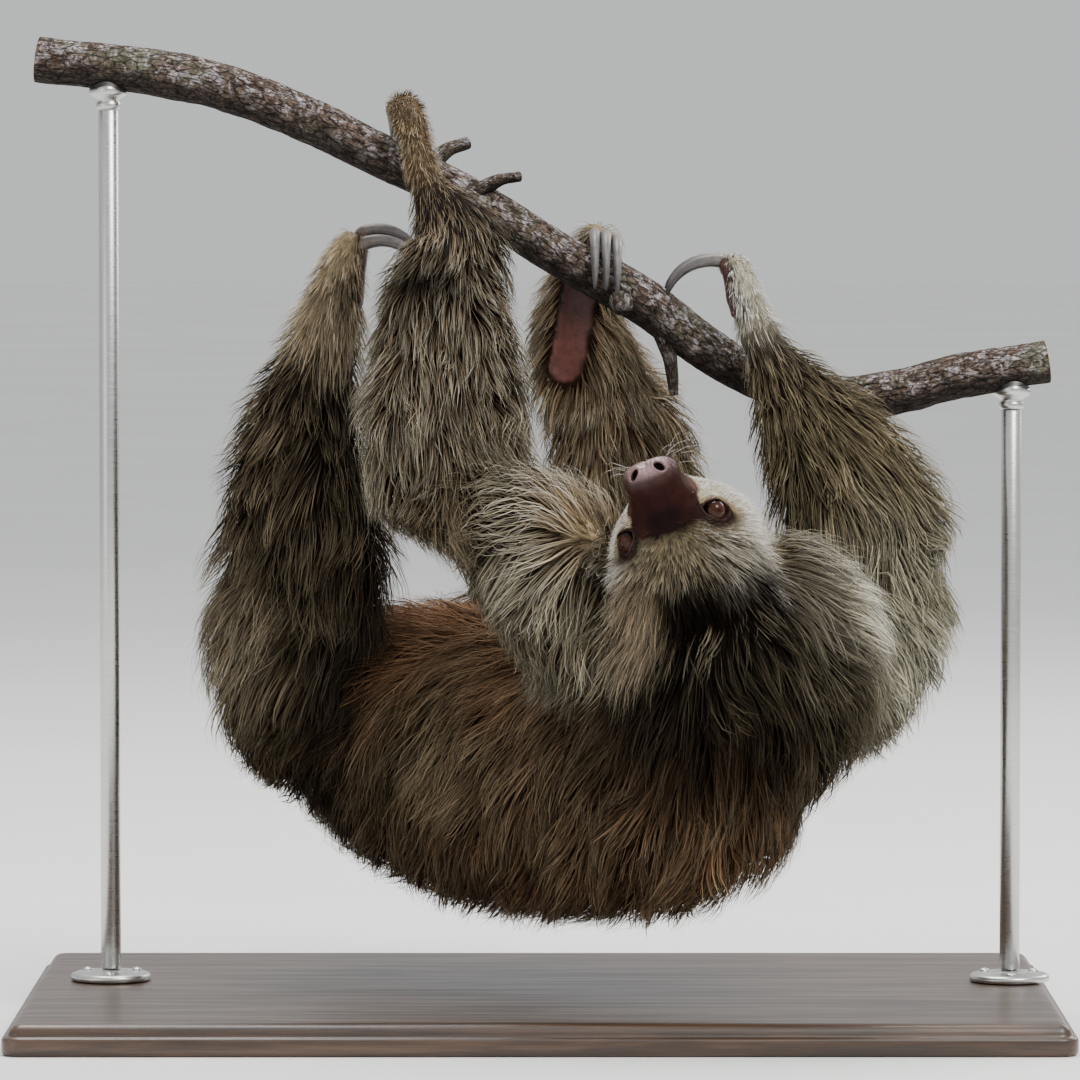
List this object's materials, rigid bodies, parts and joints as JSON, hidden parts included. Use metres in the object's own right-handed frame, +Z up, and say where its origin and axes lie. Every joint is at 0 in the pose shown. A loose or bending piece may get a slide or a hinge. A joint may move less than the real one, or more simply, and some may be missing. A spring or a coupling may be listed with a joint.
{
  "type": "two-toed sloth",
  "caption": "Still life-size model of a two-toed sloth hanging belly up from a cut length of branch, held by a flat base with rods.",
  "frame": {"origin": "centre of the base's underside, which is the bottom centre of the whole object's box", "axes": "+X along the base's length, from the animal's rump end to its head end; +Y away from the viewer; +Z up"},
  "size_m": [0.668, 0.42, 0.6354],
  "materials": {
    "coat": "long coarse hair, olive grey-brown with straw tips",
    "muzzle_skin": "bare damp skin",
    "claw": "worn horn",
    "eye": "wet",
    "bark": "rough bark with lichen",
    "base_wood": "satin varnish",
    "stand_steel": "brushed"
  },
  "bodies": {
    "root": {"trunk": "coat", "neck": "coat", "head": "coat", "muzzle": "muzzle_skin", "upper_arm_left": "coat", "forearm_left": "coat", "upper_arm_right": "coat", "forearm_right": "coat", "thigh_left": "coat", "shank_left": "coat", "thigh_right": "coat", "shank_right": "coat", "hand_left": "coat", "hand_right": "coat", "foot_left": "coat", "foot_right": "coat", "claw_hand_left_1": "claw", "claw_hand_left_2": "claw", "claw_hand_right_1": "claw", "claw_hand_right_2": "claw", "claw_foot_left_1": "claw", "claw_foot_left_2": "claw", "claw_foot_left_3": "claw", "claw_foot_right_1": "claw", "claw_foot_right_2": "claw", "claw_foot_right_3": "claw", "eye_left": "eye", "eye_right": "eye", "branch": "bark", "stand_base": "base_wood", "stand_rod_left": "stand_steel", "stand_rod_right": "stand_steel", "stand_cup_left": "stand_steel", "stand_cup_right": "stand_steel", "stand_flange_left": "stand_steel", "stand_flange_right": "stand_steel"}
  },
  "joints": []
}
